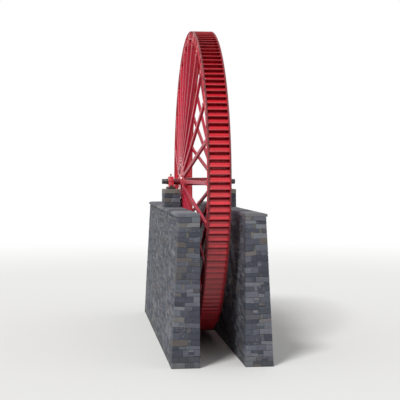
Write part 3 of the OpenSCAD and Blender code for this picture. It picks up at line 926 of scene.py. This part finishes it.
def layWall(half, height, thickness, rng):
    # Blocks of the long faces, the ends and the corners, as corners in (x, depth from the inner face, z)
    blocks = {"inner": [], "outer": [], -1: [], 1: [], "quoins": []}
    courses = cuts(0, height, *masonry["course"], rng)
    for number, (bottom, top) in enumerate(pairwise(courses)):
        level = inside(bottom, top, 0, math.inf, gap)
        outer = thickness(level)
        reach = {}
        for end in (-1, 1):
            for place in ("inner", "outer"):
                long, short = rng.uniform(*masonry["quoinLong"]), rng.uniform(*masonry["quoinShort"])
                turned = (number + (end > 0) + (place == "outer")) % 2
                x, deep = (long, short) if turned else (short, min(long, outer.min() - masonry["quoinDeep"]))
                reach[end, place] = x, deep
                run = end * (half - x), end * half
                blocks["quoins"].append(skinned(place, run, deep, outer, level))
            near, far = (reach[end, place][1] + gap * 2 for place in ("inner", "outer"))
            width = outer.mean() - near - far
            if width > masonry["endLeast"]:
                for run, part in stonesAlong(-gap, width + gap, masonry["endStone"], level, rng):
                    batter = (thickness(part) - outer.mean()) * (run.mean(axis=1, keepdims=True) / width)
                    skin = end * (half - masonry["endDepth"]), end * half
                    blocks[end].append(wallBlock(near + run + batter, skin, part)[..., [1, 0, 2]])
        for place in ("inner", "outer"):
            start, stop = reach[-1, place][0] - half, half - reach[1, place][0]
            for run, part in stonesAlong(start + gap, stop - gap, masonry["stone"], level, rng):
                deep = rng.uniform(*masonry["depth"])
                blocks[place].append(skinned(place, run, deep, thickness(part), part))
    return {place: np.stack(found) for place, found in blocks.items()}


def stand(points, side, inner, half, height):
    # Puts a wall's points on its side; slow waves lift the courses and slide the upright joints, and die
    # away at the wall's edges
    x, y, z = np.moveaxis(points, -1, 0)
    run = x + 1.3 * y
    inHeight = np.clip(np.minimum(z, height - z) / 0.5, 0, 1)
    inLength = np.clip((half - np.abs(x)) / 0.8, 0, 1)
    lift = np.sin(1.1 * run + 0.8 * z) + 0.6 * np.sin(2.9 * run - 1.7 * z + 1.0)
    lift += 0.35 * np.sin(6.3 * run + 4.1 * z)
    slide = np.sin(3.3 * z + 0.9 * x) + 0.5 * np.sin(8.0 * z - 2.0 * x)
    raised = np.clip(z + masonry["bow"] * lift * inHeight, 0, height)
    return block(x + masonry["bow"] * slide * inLength, side * (inner + y), raised)


def makeWall(face, side):
    # Stones with pillowed faces, squared blocks at the corners, a rough core of mortar set back behind them
    rng = seeded(masonry["seed"] + side)
    (_, half), (inner, foot), (_, height) = spanOf("wall" + face)
    top = spanOf("coping" + face)[1, 1] - coping["over"]

    def thickness(z):
        # From the foot's to the top's, evenly
        return np.interp(z, (0, height), (foot - inner, top - inner))

    blocks = layWall(half, height, thickness, rng)
    heap = Heap()
    for place in ("inner", "outer", -1, 1):
        points, shell = pillowBlocks(blocks[place], masonry["chamfer"], rng)
        heap.add(stand(points, side, inner, half, height), shell, rng)
    for corner in range(4):
        points, shell, _ = roundedBlocks(blocks["quoins"][corner::4], masonry["chamfer"], (4, 4, 4))
        points += rng.normal(0, masonry["quoinRough"], points.shape)
        heap.add(stand(points, side, inner, half, height), shell, rng)
    heap.build("rubble", face, "rubble", "pit", "rubble", "wall", 20)
    inset = masonry["mortarInset"]
    depth = np.array([[inset, inset], thickness([0, height]) - inset])
    core = wallBlock((inset - half, half - inset), depth, (0, height))
    points, shell, _ = roundedBlocks(core, 0.01, (70, 6, 28))
    points[..., :2] += rng.normal(0, masonry["mortarRough"], points[..., :2].shape)
    bed = Heap().add(points * (1, side, 1) + (0, side * inner, 0), shell)
    bed.build("mortar", face, "mortar", "pit", "rubble", "wall")


coping = {
    "count": 16, "gap": 0.010, "over": 0.060, "fall": 0.0375,
    "round": 0.016, "rough": 0.0035, "seed": 53,
}


def makeCoping(face, side):
    # Slabs over the wall's whole thickness: a lattice whose top falls near the outer edge, made uneven
    rng = seeded(coping["seed"] + side)
    (left, right), depth, (low, high) = spanOf("coping" + face)
    step = (right - left + coping["gap"]) / coping["count"]
    start = left + np.arange(coping["count"]) * step
    ends = np.stack([start, start + step - coping["gap"]], axis=1)[:, :, None, None]
    points, shell, _ = roundedBlocks(block(ends, depth[:, None], (low, high)), coping["round"], (12, 9, 5))
    share = (points[..., 2] - low) / (high - low)
    slope = np.clip((points[..., 1] - depth[1]) / (2 * coping["fall"]) + 1, 0, 1)
    points[..., 2] -= coping["fall"] * slope * share
    points += rng.normal(0, coping["rough"], points.shape) * (points[..., 2:] > low + 0.01)
    slabs = Heap().add(points * (1, side, 1), shell, rng)
    slabs.build("coping_slabs", face, "copingSlate", "pit", "coping", "coping", 24)


pier = {
    "courses": 3, "row": (0.3, 0.5), "block": (0.3, 0.62), "topLess": 0.030,
    "round": 0.016, "rough": 0.002, "inset": 0.02, "seed": 61,
}


def makePier(face, side):
    # Courses of squared blocks, each course shorter than the one below, round a core of mortar
    rng = seeded(pier["seed"] + side)
    (_, foot), (near, far), (low, high) = spanOf("pier" + face)
    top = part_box("bed_stone" + face)[1].x - pier["topLess"]

    def half(z):
        # From half the foot's length to half the top's, evenly
        return np.interp(z, (low, high), (foot, top))

    blocks = []
    for bottom, roof in pairwise(np.linspace(low, high, pier["courses"] + 1)):
        level = inside(bottom, roof, low, high, gap)
        for row in pairwise(cuts(near, far, *pier["row"], rng)):
            for ends in pairwise(cuts(-1, 1, *pier["block"], rng)):
                run = np.outer(ends, half(level)) + (inside(*ends, -1, 1, gap) - ends)[:, None]
                blocks.append(wallBlock(run, inside(*row, near, far, gap), level))
    points, shell, _ = roundedBlocks(np.stack(blocks), pier["round"], (6, 5, 4))
    points += rng.normal(0, pier["rough"], points.shape)
    heap = Heap().add(points * (1, side, 1), shell, rng)
    heap.build("pier_blocks", face, "rubble", "pit", "rubble", "pier", 24)
    run = np.outer([-1, 1], half([low, high]) - pier["inset"])
    core = wallBlock(run, (near + pier["inset"], far - pier["inset"]), (low, high))
    points, shell, _ = roundedBlocks(core, 0.008, (20, 10, 8))
    Heap().add(points * (1, side, 1), shell).build("pier_mortar", face, "mortar", "pit", "rubble", "pier")


for face, side in sides:
    makeWall(face, side)
    makeCoping(face, side)
    makePier(face, side)
print("masonry")


# Floor, light and camera

studio = {
    "floor": tone(226, 226, 224), "floorHalf": 400.0, "fade": (26.0, 70.0),
    "white": (1, 1, 1, 1), "sky": 0.58,
    "sun": 2.1, "sunFrom": (0.62, -0.50, 1.0), "sunAngle": 14.0,
}


def aim(thing, towards, axis):
    # Turns a thing so that its axis points along a direction
    thing.rotation_euler = Vector(towards).to_track_quat(axis, "Y").to_euler()


def makeFloor():
    # Pale diffuse floor that turns to the background's white further out, for camera and mirror rays
    look = Look("studioFloor")
    shader = look.add("BsdfDiffuse", {"Color": studio["floor"]})
    glow = look.add("Emission", {"Color": studio["white"]})
    away = look.reach((0, 0, 0), (1, 1, 0)).ramp(*studio["fade"])
    look.show(look.add("MixShader", {0: away * look.seenDirectly(), 1: shader, 2: glow}))
    mesh = bpy.data.meshes.new("floor")
    mesh.from_pydata(np.column_stack([square * studio["floorHalf"], np.zeros(4)]), [], [(0, 1, 2, 3)])
    mesh.materials.append(look.material)
    putInScene("floor", mesh)


def makeLight():
    # An even pale sky, white where it is seen directly, and one broad lamp
    look = Look("studioWorld", bpy.data.worlds.new("studioWorld"))
    lit = look.add("Background", {"Color": studio["white"], "Strength": studio["sky"]})
    shown = look.add("Background", {"Color": studio["white"]})
    look.show(look.add("MixShader", {0: look.seenDirectly(), 1: lit, 2: shown}), "World")
    bpy.context.scene.world = look.material
    lamp = bpy.data.lights.new("sun", "SUN")
    lamp.energy = studio["sun"]
    lamp.angle = math.radians(studio["sunAngle"])
    aim(putInScene("sun", lamp), studio["sunFrom"], "Z")


view = {"from": (49.37, -6.09, 8.51), "to": (0.6, 0.0, 7.05), "lens": 86.0}


def makeCamera():
    # The camera stands where the photograph was taken
    lens = bpy.data.cameras.new("camera")
    lens.lens = view["lens"]
    lens.clip_end = 2000
    camera = putInScene("camera", lens)
    camera.location = view["from"]
    aim(camera, np.subtract(view["to"], view["from"]), "-Z")
    bpy.context.scene.camera = camera


makeFloor()
makeLight()
makeCamera()
bpy.context.scene.view_settings.view_transform = "Standard"
